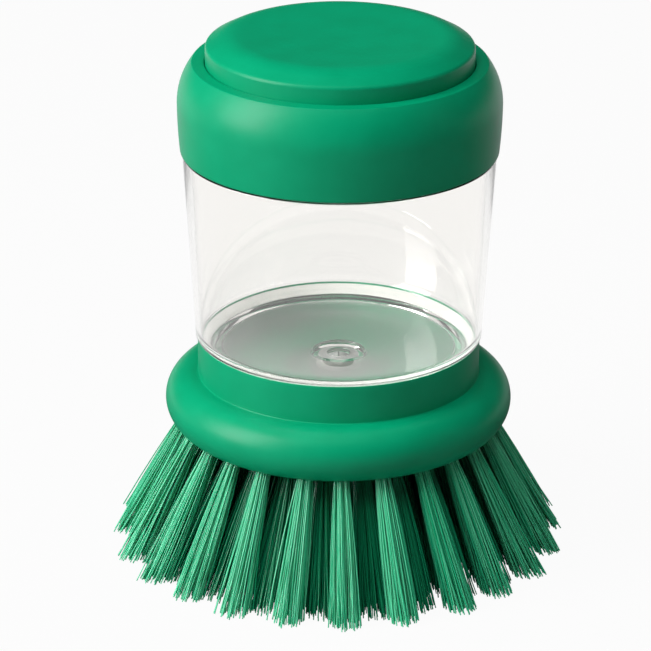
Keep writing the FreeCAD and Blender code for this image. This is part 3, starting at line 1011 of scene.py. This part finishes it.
def new_tree(name: str, counts: Sequence[str], sizes: Sequence[str]) -> tuple[Tree, Feeds]:
    """Start a geometry tree with named inputs, the last of which is its finish.

    Args:
        name: The tree's name.
        counts: Names of its whole-number inputs.
        sizes: Names of its other number inputs.

    Returns:
        The tree, and the sockets that give its inputs.
    """
    tree = bpy.data.node_groups.new(name, "GeometryNodeTree")
    kinds = {"Int": counts, "Float": sizes, "Material": ("Finish",)}
    for kind, titles in kinds.items():
        for title in titles:
            tree.interface.new_socket(title, in_out="INPUT", socket_type=f"NodeSocket{kind}")
    tree.interface.new_socket("Geometry", in_out="OUTPUT", socket_type="NodeSocketGeometry")
    sockets = add_node(tree, "NodeGroupInput").outputs
    return tree, {socket.name: socket for socket in sockets if socket.name}


def close_tree(tree: Tree, geometry: Node, finish: Socket) -> None:
    """End a tree with smooth, real and dressed geometry.

    Args:
        tree: The tree.
        geometry: What it has made so far.
        finish: The material that dresses it.
    """
    smooth = add_node(tree, "GeometryNodeSetShadeSmooth", {"Geometry": geometry})
    real = add_node(tree, "GeometryNodeRealizeInstances", {"Geometry": smooth})
    dressed = add_node(tree, "GeometryNodeSetMaterial", {"Geometry": real, "Material": finish})
    add_node(tree, "NodeGroupOutput", {"Geometry": dressed})


def meshed(name: str, tree: Tree, values: dict[str, Any]) -> Mesh:
    """Run a geometry tree with its inputs and give back a plain mesh.

    Args:
        name: The mesh's name.
        tree: The tree.
        values: Input name to value.

    Returns:
        The evaluated mesh.
    """
    carrier = linked_object(f"{name}_carrier", bpy.data.meshes.new(f"{name}_seed"))
    modifier = carrier.modifiers.new("shape", "NODES")
    modifier.node_group = tree
    for item in tree.interface.items_tree:
        if item.in_out == "INPUT":
            modifier[item.identifier] = values[item.name]
    carrier.update_tag()
    graph = bpy.context.evaluated_depsgraph_get()
    mesh = bpy.data.meshes.new_from_object(carrier.evaluated_get(graph), depsgraph=graph)
    mesh.name = name
    bpy.data.objects.remove(carrier)
    return mesh


@dataclass(frozen=True)
class TuftRing:
    """One ring of tufts: where they leave the block, how they lean and how many there are."""

    name: str
    nodes: tuple[str, ...]
    tufts: int
    radius: float
    lean_degrees: float
    turn_degrees: float
    filaments: int
    splay: float


# What each filament's tree works out, row by row: a name, an operation, and the names or numbers
# that it takes. A chance lies between two limits, and is one for each tuft or each filament.
CHANCE = "CHANCE"
TUFT_SUMS = (
    # Which tuft a filament belongs to, and its number there.
    ("tuft share", "DIVIDE", "index", "Filaments"),
    ("tuft", "FLOOR", "tuft share"),
    ("strand", "FLOORED_MODULO", "index", "Filaments"),
    # What differs from tuft to tuft and from filament to filament.
    ("lean chance", CHANCE, -1.0, 1.0, "tuft"),
    ("turn chance", CHANCE, -1.0, 1.0, "tuft"),
    ("spread chance", CHANCE, 0.1, 0.9, "index"),
    ("swirl chance", CHANCE, -0.5, 0.5, "index"),
    ("stray chance", CHANCE, 0.0, 1.0, "index"),
    ("stray length", CHANCE, 0.3, 1.0, "index"),
    ("uneven", CHANCE, 0.0, 1.0, "index"),
    ("spin", CHANCE, 0.0, TURN, "index"),
    ("thickness", CHANCE, 0.85, 1.1, "index"),
    ("tint", CHANCE, 0.0, 1.0, "index"),
    ("sway chance", CHANCE, -1.0, 1.0, "tuft"),
    # The places of root and tip, before the tuft is turned to its place round the ring.
    ("lean", "MULTIPLY_ADD", "lean chance", "Lean Spread", "Lean"),
    ("sine", "SINE", "lean"),
    ("cosine", "COSINE", "lean"),
    ("slope", "TANGENT", "lean"),
    ("step", "DIVIDE", TURN, "Tufts"),
    ("start", "MULTIPLY_ADD", "turn chance", "Turn Spread", "Turn"),
    ("angle", "MULTIPLY_ADD", "tuft", "step", "start"),
    ("filled", "ADD", "strand", "spread chance"),
    ("area share", "DIVIDE", "filled", "Filaments"),
    ("spread", "SQRT", "area share"),
    ("swirl", "MULTIPLY_ADD", "strand", GOLDEN_ANGLE, "swirl chance"),
    ("swirl cosine", "COSINE", "swirl"),
    ("swirl sine", "SINE", "swirl"),
    ("along", "MULTIPLY", "spread", "swirl cosine"),
    ("across", "MULTIPLY", "spread", "swirl sine"),
    ("is stray", "LESS_THAN", "stray chance", "Stray Share"),
    ("stray reach", "MULTIPLY", "Stray Reach", "stray length"),
    ("stray", "MULTIPLY_ADD", "is stray", "stray reach", 1.0),
    ("root back", "MULTIPLY", "Root Depth", "sine"),
    ("root out", "SUBTRACT", "Ring Radius", "root back"),
    ("root x", "MULTIPLY_ADD", "along", "Root Radius", "root out"),
    ("root y", "MULTIPLY", "across", "Root Radius"),
    ("root z", "MULTIPLY_ADD", "Root Depth", "cosine", "Face Height"),
    ("tip out", "MULTIPLY_ADD", "Face Height", "slope", "Ring Radius"),
    ("tip along", "MULTIPLY", "along", "Tip Along"),
    ("tip x", "MULTIPLY_ADD", "tip along", "stray", "tip out"),
    ("tip across", "MULTIPLY", "across", "Tip Across"),
    ("tip sway", "MULTIPLY", "sway chance", "Sway"),
    ("tip y", "MULTIPLY_ADD", "tip across", "stray", "tip sway"),
    ("uneven square", "MULTIPLY", "uneven", "uneven"),
    ("tip z", "MULTIPLY_ADD", "Unevenness", "uneven square", "Tip Height"),
    # A curve's middle handle stands out twice as far as the curve.
    ("bow reach", "MULTIPLY", 2.0, "Bow"),
    ("count", "MULTIPLY", "Tufts", "Filaments"),
)


@dataclass
class Bristles:
    """The bristle tufts: filaments that leave their hole close together and splay to level tips."""

    face: float
    root_depth: float = 1.5
    root_radius: float = 1.3
    tip_along: float = 3.4
    tip_across: float = 3.0
    tip_height: float = 0.12
    filament_radius: float = 0.12
    sides: int = 5
    stretches: int = 4
    bow: float = 0.35
    unevenness: float = 0.6
    lean_spread_degrees: float = 0.8
    turn_spread_degrees: float = 1.2
    stray_share: float = 0.03
    stray_reach: float = 0.35
    sway: float = 1.0
    seed: int = 4

    def tree(self) -> Tree:
        """Build the tree that sets out one ring of tufts.

        Returns:
            The node tree, with named inputs for its sizes.
        """
        counts = ("Tufts", "Filaments", "Seed")
        sizes = (
            "Ring Radius", "Lean", "Turn", "Lean Spread", "Turn Spread", "Face Height",
            "Root Depth", "Root Radius", "Tip Along", "Tip Across", "Tip Height",
            "Filament Radius", "Bow", "Unevenness", "Stray Share", "Stray Reach", "Sway",
        )
        tree, known = new_tree("tuft_ring", counts, sizes)
        known["index"] = add_node(tree, "GeometryNodeInputIndex")
        salt = 0
        for name, operation, *values in TUFT_SUMS:
            feeds = [known.get(value, value) for value in values]
            if operation == CHANCE:
                salt += 1
                seed = add_node(tree, "ShaderNodeMath", {0: known["Seed"], 1: salt},
                                operation="ADD")
                low, high, owner = feeds
                known[name] = add_node(tree, "FunctionNodeRandomValue", {
                    2: low, 3: high, "ID": owner, "Seed": seed}).outputs[1]
            else:
                known[name] = add_node(tree, "ShaderNodeMath", dict(enumerate(feeds)),
                                       operation=operation)
        close_tree(tree, self.strands(tree, known), known["Finish"])
        return tree

    def strands(self, tree: Tree, known: Feeds) -> Node:
        """Stand one bowed filament on each root and turn it to its tip.

        Args:
            tree: The tree.
            known: Its values by name.

        Returns:
            The node that gives the filaments, each with its tint.
        """
        root, tip = (
            add_node(tree, "ShaderNodeVectorRotate", {
                "Vector": add_node(tree, "ShaderNodeCombineXYZ", {
                    axis: known[f"{end} {axis.lower()}"] for axis in "XYZ"}),
                "Angle": known["angle"],
            }, rotation_type="Z_AXIS")
            for end in ("root", "tip")
        )
        way = add_node(tree, "ShaderNodeVectorMath", {0: tip, 1: root}, operation="SUBTRACT")
        length = add_node(tree, "ShaderNodeVectorMath", {0: way}, operation="LENGTH")
        spin = add_node(tree, "ShaderNodeCombineXYZ", {"Z": known["spin"]})
        facing = add_node(tree, "FunctionNodeEulerToRotation", {0: spin})
        aligned = add_node(tree, "FunctionNodeAlignRotationToVector", {
            "Rotation": facing, "Vector": way}, axis="Z")
        scale = add_node(tree, "ShaderNodeCombineXYZ", {
            "X": known["thickness"], "Y": known["thickness"], "Z": length.outputs["Value"]})
        # One filament of unit length, bowed most at half its length.
        handle = add_node(tree, "ShaderNodeCombineXYZ", {"X": known["bow reach"], "Z": 0.5})
        line = add_node(tree, "GeometryNodeCurveQuadraticBezier", {
            "Resolution": self.stretches, "Start": (0, 0, 0), "Middle": handle, "End": (0, 0, 1)})
        section = add_node(tree, "GeometryNodeCurvePrimitiveCircle", {
            "Resolution": self.sides, "Radius": known["Filament Radius"]})
        strand = add_node(tree, "GeometryNodeCurveToMesh", {
            "Curve": line, "Profile Curve": section, "Fill Caps": True})
        points = add_node(tree, "GeometryNodePoints", {"Count": known["count"], "Position": root})
        placed = add_node(tree, "GeometryNodeInstanceOnPoints", {
            "Points": points, "Instance": strand, "Rotation": aligned, "Scale": scale})
        return add_node(tree, "GeometryNodeStoreNamedAttribute", {
            "Geometry": placed, "Name": "tint", "Value": known["tint"],
        }, data_type="FLOAT", domain="INSTANCE")

    def build(self, ring: TuftRing, tree: Tree, finish: Material) -> None:
        """Build and settle one ring of tufts.

        Args:
            ring: The ring's sizes and nodes.
            tree: The tree that sets out a ring.
            finish: The filaments' finish.
        """
        values = {
            "Tufts": ring.tufts,
            "Filaments": ring.filaments,
            "Seed": self.seed + ring.tufts * ring.filaments + round(ring.radius),
            "Ring Radius": ring.radius * MM,
            "Lean": math.radians(ring.lean_degrees),
            "Turn": math.radians(ring.turn_degrees),
            "Lean Spread": math.radians(self.lean_spread_degrees),
            "Turn Spread": math.radians(self.turn_spread_degrees),
            "Face Height": self.face * MM,
            "Root Depth": self.root_depth * MM,
            "Root Radius": self.root_radius * MM,
            "Tip Along": self.tip_along * ring.splay * MM,
            "Tip Across": self.tip_across * ring.splay * MM,
            "Tip Height": self.tip_height * MM,
            "Filament Radius": self.filament_radius * MM,
            "Bow": self.bow * MM,
            "Unevenness": self.unevenness * MM,
            "Stray Share": self.stray_share,
            "Stray Reach": self.stray_reach,
            "Sway": self.sway * MM,
            "Finish": finish,
        }
        piece = finished_piece(ring.name, meshed(ring.name, tree, values), finish)
        settle(piece, Body.BRUSH, Slot.BRISTLE, *ring.nodes)


@dataclass
class Spring:
    """The return spring between the pump plate and the button."""

    place: CadPlace
    wire_radius: float = 0.5
    turns: float = 6.0
    steps_per_turn: int = 32
    wire_sides: int = 12
    press_travel: float = 3.0

    def tree(self) -> Tree:
        """Build the tree that winds the wire.

        Returns:
            The node tree, with named inputs for its sizes.
        """
        counts = ("Steps", "Wire Sides")
        sizes = ("Turns", "Coil Radius", "Rise", "Wire Radius", "Foot")
        tree, size = new_tree("wound_wire", counts, sizes)
        coil = add_node(tree, "GeometryNodeCurveSpiral", {
            "Resolution": size["Steps"], "Rotations": size["Turns"],
            "Start Radius": size["Coil Radius"], "End Radius": size["Coil Radius"],
            "Height": size["Rise"]})
        section = add_node(tree, "GeometryNodeCurvePrimitiveCircle", {
            "Resolution": size["Wire Sides"], "Radius": size["Wire Radius"]})
        wire = add_node(tree, "GeometryNodeCurveToMesh", {
            "Curve": coil, "Profile Curve": section, "Fill Caps": True})
        foot = add_node(tree, "ShaderNodeCombineXYZ", {"Z": size["Foot"]})
        seated = add_node(tree, "GeometryNodeTransform", {"Geometry": wire, "Translation": foot})
        close_tree(tree, seated, size["Finish"])
        return tree

    def build(self, finish: Material) -> None:
        """Build the spring and settle it on the cap.

        Args:
            finish: The wire's finish.
        """
        length = self.place.high - self.place.low
        values = {
            "Turns": self.turns,
            "Steps": self.steps_per_turn,
            "Coil Radius": (self.place.radius - self.wire_radius) * MM,
            "Rise": (length - 2 * self.wire_radius) * MM,
            "Wire Radius": self.wire_radius * MM,
            "Wire Sides": self.wire_sides,
            "Foot": (self.place.low + self.wire_radius) * MM,
            "Finish": finish,
        }
        piece = finished_piece("coil_spring", meshed("coil_spring", self.tree(), values), finish)
        settle(piece, Body.CAP, Slot.STEEL, "return_spring")
        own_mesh(piece)


def look_along(thing: Piece, way: Vector, roll_degrees: float = 0.0) -> None:
    """Turn a camera or lamp to look along a direction.

    Args:
        thing: The camera or lamp.
        way: The direction.
        roll_degrees: Its turn about that direction.
    """
    roll = Euler((0, 0, math.radians(roll_degrees))).to_quaternion()
    thing.rotation_mode = "QUATERNION"
    thing.rotation_quaternion = way.to_track_quat("-Z", "Y") @ roll


@dataclass(frozen=True)
class SoftBox:
    """A soft box: its degrees from the front and above the floor, its distance, size and power."""

    name: str
    azimuth: float
    elevation: float
    distance_m: float
    width_m: float
    height_m: float
    watts: float
    mirrored: bool = True

    def hang(self, aim: Vector) -> None:
        """Hang the soft box and aim it.

        Args:
            aim: The place that it looks at, in metres.
        """
        data = bpy.data.lights.new(self.name, "AREA")
        data.shape = "RECTANGLE"
        data.size = self.width_m
        data.size_y = self.height_m
        data.energy = self.watts
        lamp = linked_object(self.name, data)
        lamp.visible_glossy = self.mirrored
        turn, lift = math.radians(self.azimuth), math.radians(self.elevation)
        way = Vector((math.sin(turn) * math.cos(lift), -math.cos(turn) * math.cos(lift),
                      math.sin(lift)))
        lamp.location = aim + way * self.distance_m
        look_along(lamp, -way)


@dataclass
class Studio:
    """White floor and background, a tall soft box on the left, a soft top light and a weak fill."""

    camera_distance: float = 700.7
    camera_elevation_degrees: float = 22.377
    camera_roll_degrees: float = 0.32
    aim_height: float = 43.675
    focal_px: float = 3630.0
    aim_offset_px: float = 13.2
    sensor_mm: float = 36.0
    clip_near_m: float = 0.01
    clip_far_m: float = 50.0
    lamp_aim_m: float = 0.06
    ambient: float = 0.05
    sheen: float = 0.04
    floor_side_m: float = 8.0
    floor_colour: str = "#b0b0b0"
    floor_white_share: float = 0.95
    # Between these places behind the brush, the floor's mirror image grows from sheen to white.
    sheen_end_m: float = 0.03
    white_start_m: float = 0.3

    def camera(self) -> None:
        """Set the camera at the photograph's viewing angle."""
        data = bpy.data.cameras.new("photo_camera")
        data.sensor_width = self.sensor_mm
        data.lens = self.focal_px / IMAGE_SIDE_PX * self.sensor_mm
        data.shift_x = -self.aim_offset_px / IMAGE_SIDE_PX
        data.clip_start = self.clip_near_m
        data.clip_end = self.clip_far_m
        camera = linked_object("photo_camera", data)
        lift = math.radians(self.camera_elevation_degrees)
        reach = self.camera_distance * MM
        aim = Vector((0, 0, self.aim_height * MM))
        camera.location = aim + Vector((0, -math.cos(lift), math.sin(lift))) * reach
        look_along(camera, aim - camera.location, self.camera_roll_degrees)
        bpy.context.scene.camera = camera

    def clear_view(self, tree: Tree, path: Node) -> Node:
        """Tell rays of the eye, and rays through or off polished clear plastic, from all others.

        Args:
            tree: The tree that asks.
            path: Its light path node.

        Returns:
            The node that gives one for such rays, zero for the others.
        """
        seen = add_node(tree, "ShaderNodeMath", {
            0: path.outputs["Is Camera Ray"], 1: path.outputs["Is Transmission Ray"],
        }, operation="MAXIMUM")
        return add_node(tree, "ShaderNodeMath", {
            0: seen, 1: path.outputs["Is Singular Ray"],
        }, operation="MAXIMUM")

    def world(self) -> None:
        """White background to the eye and through clear plastic, a plain grey level as light."""
        world = bpy.data.worlds.new("studio")
        world.use_nodes = True
        tree = world.node_tree
        tree.nodes.clear()
        path = add_node(tree, "ShaderNodeLightPath")
        glossy = add_node(tree, "ShaderNodeMix", {
            "Factor": path.outputs["Is Glossy Ray"], "A": self.ambient, "B": self.sheen})
        strength = add_node(tree, "ShaderNodeMix", {
            "Factor": self.clear_view(tree, path), "A": glossy, "B": 1.0})
        light = add_node(tree, "ShaderNodeBackground", {"Color": WHITE, "Strength": strength})
        add_node(tree, "ShaderNodeOutputWorld", {"Surface": light})
        bpy.context.scene.world = world

    def floor(self) -> None:
        """A white floor that keeps a soft shadow."""
        shape = bmesh.new()
        bmesh.ops.create_grid(shape, x_segments=1, y_segments=1, size=self.floor_side_m / 2)
        mesh = bpy.data.meshes.new("studio_floor")
        shape.to_mesh(mesh)
        shape.free()
        material, tree = new_material("studio_paper")
        path = add_node(tree, "ShaderNodeLightPath")
        place = add_node(tree, "ShaderNodeTexCoord")
        parts = add_node(tree, "ShaderNodeSeparateXYZ", {0: place.outputs["Object"]})
        behind = add_node(tree, "ShaderNodeMapRange", {
            "Value": parts.outputs["Y"],
            "From Min": self.sheen_end_m, "From Max": self.white_start_m,
            "To Min": self.sheen, "To Max": 1.0})
        clear = self.clear_view(tree, path)
        either = add_node(tree, "ShaderNodeMath", {
            0: clear, 1: path.outputs["Is Glossy Ray"]}, operation="MAXIMUM")
        share = add_node(tree, "ShaderNodeMath", {
            0: either, 1: self.floor_white_share}, operation="MULTIPLY")
        strength = add_node(tree, "ShaderNodeMix", {
            "Factor": clear, "A": behind, "B": 1.0})
        paper = add_node(tree, "ShaderNodeBsdfDiffuse", {"Color": linear_colour(self.floor_colour)})
        white = add_node(tree, "ShaderNodeEmission", {"Color": WHITE, "Strength": strength})
        mixed = add_node(tree, "ShaderNodeMixShader", {0: share, 1: paper, 2: white})
        add_node(tree, "ShaderNodeOutputMaterial", {"Surface": mixed})
        finished_piece("studio_floor", mesh, material)

    def build(self) -> None:
        """Set up camera, world, floor and lamps."""
        bpy.context.scene.view_settings.view_transform = "Standard"
        self.camera()
        self.world()
        self.floor()
        for box in (
            SoftBox("left_softbox", azimuth=-71, elevation=28, distance_m=0.9,
                    width_m=0.5, height_m=0.75, watts=10.6),
            SoftBox("top_softbox", azimuth=-10, elevation=72, distance_m=0.9,
                    width_m=0.7, height_m=0.6, watts=5.1, mirrored=False),
            SoftBox("right_fill", azimuth=75, elevation=20, distance_m=1.1,
                    width_m=0.5, height_m=0.7, watts=0.2),
        ):
            box.hang(Vector((0, 0, self.lamp_aim_m)))


def dress(finish: Material, *nodes: str) -> None:
    """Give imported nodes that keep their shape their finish.

    Args:
        finish: Their material.
        nodes: The nodes' names.
    """
    for node in nodes:
        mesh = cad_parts[node].data
        mesh.materials.clear()
        mesh.materials.append(finish)
        LOG.info("%s keeps its packed shape", node)


def main() -> None:
    """Build every piece in order."""
    logging.basicConfig(level=logging.INFO, format="%(name)s: %(message)s")
    Studio().build()
    green = MouldedPolypropylene("polypropylene_green_moulded", "#009063", "#009d6f").build()
    natural = MouldedPolypropylene("polypropylene_natural_moulded", "#dfe0d8", "#e6e6de").build()
    clear = ClearStyrene("styrene_acrylonitrile_clear", "#fcfbf9").build()
    # The frosted underside's grey is painted shade: it dims the block seen through the floor, since
    # the tank casts no shadow.
    frost_and_painted_shade = ClearStyrene("styrene_acrylonitrile_frosted_painted_shade", "#c2c2c2", roughness=0.3).build()
    white_silicone = MouldedSilicone("silicone_rubber_white", "#eaece9", transmission=0.1).build()
    milky_silicone = MouldedSilicone("silicone_rubber_milky", "#c4c9c6", transmission=0.6).build()
    # One green filament in two copies: the outer ring's is paler as painted light, the inner rings'
    # darker as painted shade between the tufts.
    outer_filament_painted_light = DrawnMonofilament("polyester_monofilament_painted_light", "#0eaf7b", "#60dba9").build()
    inner_filament_painted_shade = DrawnMonofilament("polyester_monofilament_painted_shade", "#05784f", "#109467").build()
    steel = DrawnStainlessWire("stainless_wire_drawn", "#c2c2c0").build()

    base_place, cap_place = CadPlace.of("brush_base"), CadPlace.of("cap")
    face = CadPlace.of("bristle_plate").low
    BrushBase(base_place, face).build(green, white_silicone)
    Tank(CadPlace.of("container"), foot=base_place.high + TANK_GAP,
         shoulder=cap_place.low - TANK_GAP).build(clear, frost_and_painted_shade)
    Cap(cap_place).build(green)
    Button(CadPlace.of("press_button")).build(green, cap_place.high)
    bristles = Bristles(face)
    tree = bristles.tree()
    outer_nodes = tuple(f"outer_tuft_{number:02d}" for number in range(1, 25))
    # The outer ring takes the copy with painted light, the inner rings the copy with painted shade.
    for ring, finish in (
        (TuftRing("outer_bristles", outer_nodes, tufts=24, radius=29.0, lean_degrees=26.3,
                  turn_degrees=2.1, filaments=110, splay=1.0), outer_filament_painted_light),
        (TuftRing("second_bristles", ("second_tufts",), tufts=24, radius=25.0, lean_degrees=25.0,
                  turn_degrees=9.6, filaments=120, splay=1.3), inner_filament_painted_shade),
        (TuftRing("third_bristles", ("third_tufts",), tufts=18, radius=20.0, lean_degrees=18.0,
                  turn_degrees=2.1, filaments=140, splay=1.7), inner_filament_painted_shade),
        (TuftRing("inner_bristles", ("inner_tufts",), tufts=12, radius=14.5, lean_degrees=10.0,
                  turn_degrees=12.1, filaments=160, splay=2.0), inner_filament_painted_shade),
    ):
        bristles.build(ring, tree, finish)
    Spring(CadPlace.of("return_spring")).build(steel)
    dress(green, "bristle_plate")
    dress(natural, "pump_plate", "valve_retainer")
    dress(white_silicone, "rim_gasket", "piston_seal")
    dress(milky_silicone, "outlet_valve")
    dress(steel, "outer_anchors", "second_anchors", "third_anchors", "inner_anchors")


if __name__ == "__main__":
    main()
